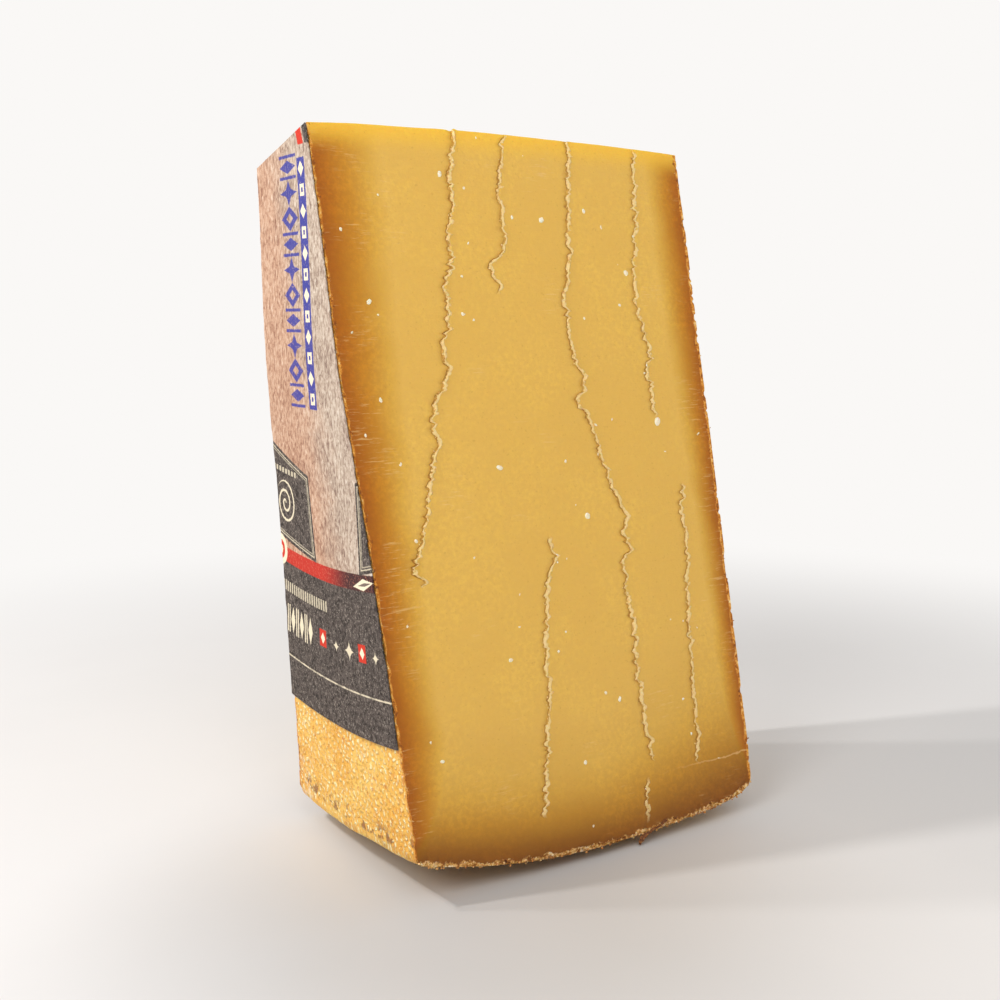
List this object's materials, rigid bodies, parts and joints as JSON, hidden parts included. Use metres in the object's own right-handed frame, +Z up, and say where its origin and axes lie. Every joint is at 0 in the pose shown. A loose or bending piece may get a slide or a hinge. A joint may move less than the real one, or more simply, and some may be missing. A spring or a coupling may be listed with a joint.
{
  "type": "cheese wedge",
  "caption": "Tall wedge cut from a large wheel of hard cheese, standing on its barrelled rind heel, with a sector of the printed paper wheel label on one face.",
  "frame": {"origin": "under the middle of the object's bounding box, on the surface that it stands on", "axes": "+Z up; X along the axis of the wheel that the wedge was cut from, with the labelled face on the -X side; -Y towards the leaning front cut"},
  "size_m": [0.1196, 0.0772, 0.1893],
  "materials": {
    "cheese": "waxy satin paste with a dry orange-brown rind",
    "label_paper": "matt printed paper"
  },
  "bodies": {
    "root": {"cheese_wedge": "cheese", "label": "label_paper"}
  },
  "joints": []
}
